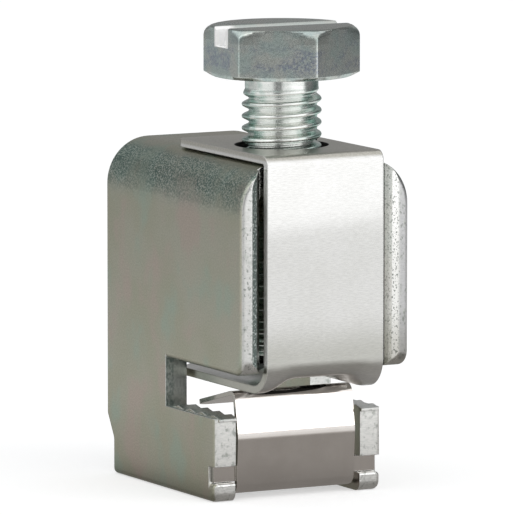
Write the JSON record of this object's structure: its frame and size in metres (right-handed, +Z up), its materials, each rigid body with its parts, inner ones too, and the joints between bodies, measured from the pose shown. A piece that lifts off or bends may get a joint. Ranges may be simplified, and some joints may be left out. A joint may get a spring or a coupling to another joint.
{
  "type": "busbar terminal clamp",
  "caption": "Folded steel clamp that hooks over a flat busbar's edge; a slotted hex screw drives a pressure strap onto the conductor, and a leaf clip holds it in place.",
  "frame": {"origin": "middle of the base, at the lower edges of the two cheeks", "axes": "+Z up along the screw axis, -Y towards the open side of the busbar slot, X across the width"},
  "size_m": [0.0236, 0.0372, 0.0589],
  "materials": {
    "plated_body": "dull zinc plating",
    "brushed_strap": "fine brushed",
    "plated_screw": "bright zinc plating",
    "bright_clip": "polished spring steel"
  },
  "bodies": {
    "frame": {"clamp_body": "plated_body", "retaining_clip": "bright_clip"},
    "strap": {"pressure_strap": "brushed_strap"},
    "screw": {"clamp_screw": "plated_screw"}
  },
  "joints": [
    {"name": "strap_lift", "type": "slide", "parent": "frame", "child": "strap", "axis": [0, 0, 1], "range_m": [0, 0.015]},
    {"name": "screw_turn", "type": "hinge", "parent": "strap", "child": "screw", "pos_m": [0, -0.00695, 0.03], "axis": [0, 0, 1], "range_deg": [0, 3600]}
  ],
  "couplings": [
    {"joint": "screw_turn", "follows": "strap_lift", "rad_per_m": 4188.8}
  ]
}
